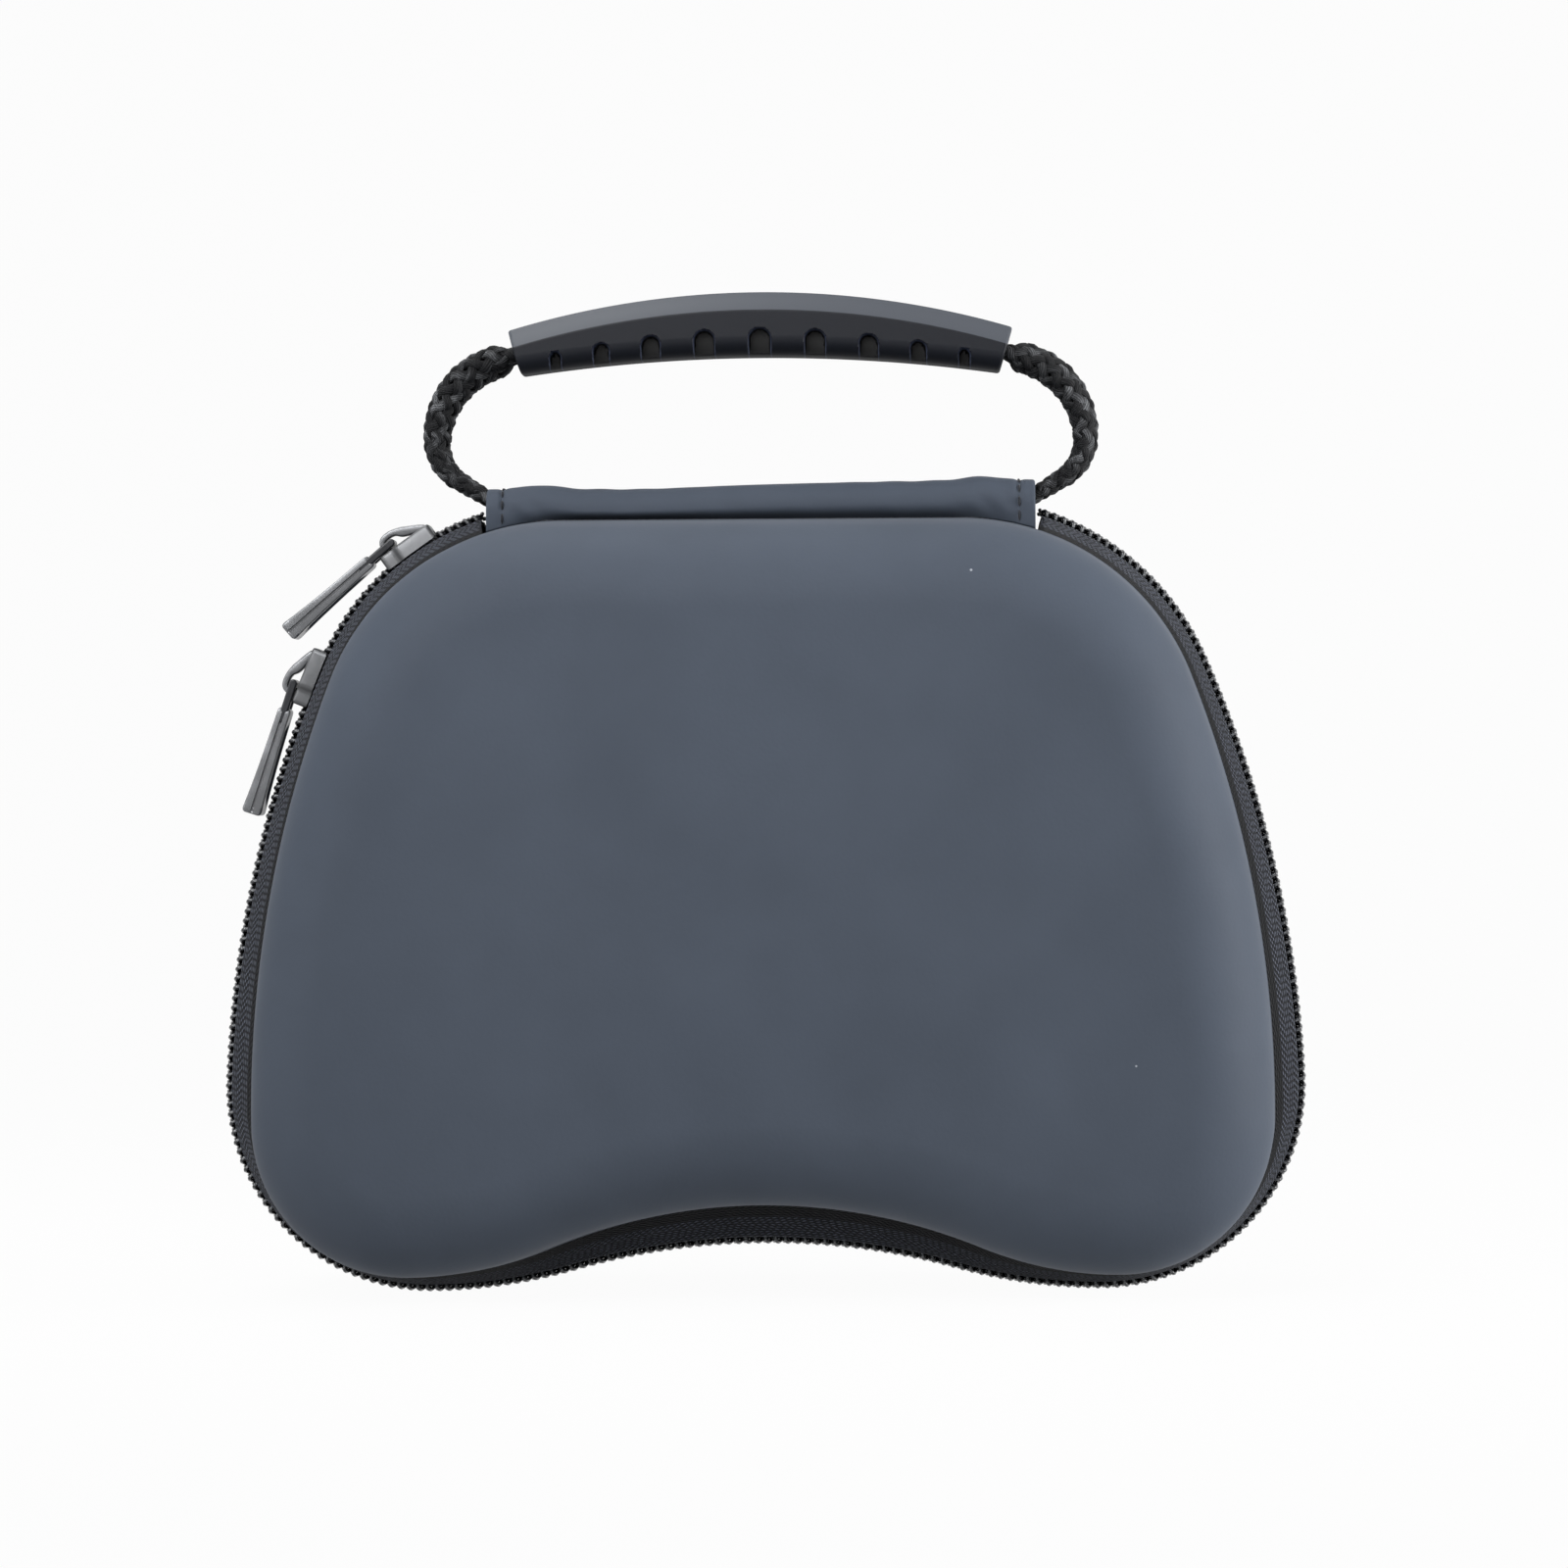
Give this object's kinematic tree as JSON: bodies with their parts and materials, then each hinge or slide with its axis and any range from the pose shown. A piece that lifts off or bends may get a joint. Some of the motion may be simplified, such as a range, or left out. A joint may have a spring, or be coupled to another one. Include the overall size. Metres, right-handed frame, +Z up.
{
  "type": "controller carrying case",
  "caption": "Hard-shell zip carrying case for a game controller, with a notched lower edge, a hinge sleeve along the top and a webbing handle with a slotted grip.",
  "frame": {"origin": "centre of the bounding box at its bottom, which is on the zip plane under the two lobes", "axes": "+Z up towards the handle, front half faces -Y, +X to the right seen from the front"},
  "size_m": [0.182, 0.074, 0.1678],
  "materials": {
    "shell_leather": "matte pebbled synthetic leather, blue-grey",
    "sleeve_leather": "matte pebbled synthetic leather, blue-grey",
    "tape_cloth": "black woven tape",
    "coil_nylon": "black nylon coil",
    "binding_cloth": "black woven binding",
    "net_cloth": "black knitted net",
    "hem_elastic": "black elastic hem",
    "thread": "black sewing thread",
    "strip_cloth": "black woven hinge strip",
    "webbing": "black braided webbing",
    "grip_rubber": "matte soft rubber",
    "slider_metal": "dark grey lacquered zinc",
    "bridge_metal": "grey lacquered zinc",
    "pull_metal": "dark grey lacquered zinc",
    "link_metal": "dark grey lacquered zinc"
  },
  "bodies": {
    "back_half": {"back_shell": "shell_leather", "inner_binding_back": "binding_cloth", "zipper_tape_back": "tape_cloth", "zipper_teeth_back": "coil_nylon"},
    "hinge_spine": {"hinge_sleeve": "sleeve_leather", "hinge_strip": "strip_cloth", "sleeve_stitching": "thread"},
    "front_half": {"front_shell": "shell_leather", "inner_binding_front": "binding_cloth", "zipper_tape_front": "tape_cloth", "zipper_teeth_front": "coil_nylon", "mesh_pocket": "net_cloth", "pocket_hem": "hem_elastic"},
    "handle": {"handle_cord": "webbing", "handle_grip": "grip_rubber"},
    "upper_slider": {"upper_slider_body": "slider_metal", "upper_slider_bridge": "bridge_metal"},
    "upper_pull": {"upper_pull_link": "link_metal", "upper_pull_tab": "pull_metal"},
    "lower_slider": {"lower_slider_body": "slider_metal", "lower_slider_bridge": "bridge_metal"},
    "lower_pull": {"lower_pull_link": "link_metal", "lower_pull_tab": "pull_metal"}
  },
  "joints": [
    {"name": "spine_fold", "type": "hinge", "parent": "back_half", "child": "hinge_spine", "pos_m": [0, 0.008, 0.1295], "axis": [-1, 0, 0], "range_deg": [0, 90]},
    {"name": "lid_fold", "type": "hinge", "parent": "hinge_spine", "child": "front_half", "pos_m": [0, -0.008, 0.1295], "axis": [-1, 0, 0], "range_deg": [0, 90], "deforming": ["zipper_teeth_back", "zipper_teeth_front", "zipper_tape_front"]},
    {"name": "handle_swing", "type": "hinge", "parent": "hinge_spine", "child": "handle", "pos_m": [0, 0, 0.1332], "axis": [-1, 0, 0], "range_deg": [-78, 12], "stiffness_Nm_per_rad": 0.03, "deforming": ["handle_cord"]},
    {"name": "upper_slider_run", "type": "hinge", "parent": "back_half", "child": "upper_slider", "pos_m": [-0.0335, 0, 0.0885], "axis": [0, -1, 0], "range_deg": [-11, 1]},
    {"name": "upper_pull_swing", "type": "hinge", "parent": "upper_slider", "child": "upper_pull", "pos_m": [-0.06242, 0, 0.12623], "axis": [0, 1, 0], "range_deg": [0, 95]},
    {"name": "lower_slider_run", "type": "hinge", "parent": "back_half", "child": "lower_slider", "pos_m": [0.10884, 0, 0.02714], "axis": [0, -1, 0], "range_deg": [0, 17]},
    {"name": "lower_pull_swing", "type": "hinge", "parent": "lower_slider", "child": "lower_pull", "pos_m": [-0.07905, 0, 0.1027], "axis": [0, 1, 0], "range_deg": [0, 120]}
  ],
  "couplings": [
    {"joint": "lid_fold", "follows": "spine_fold", "ratio": 1}
  ]
}
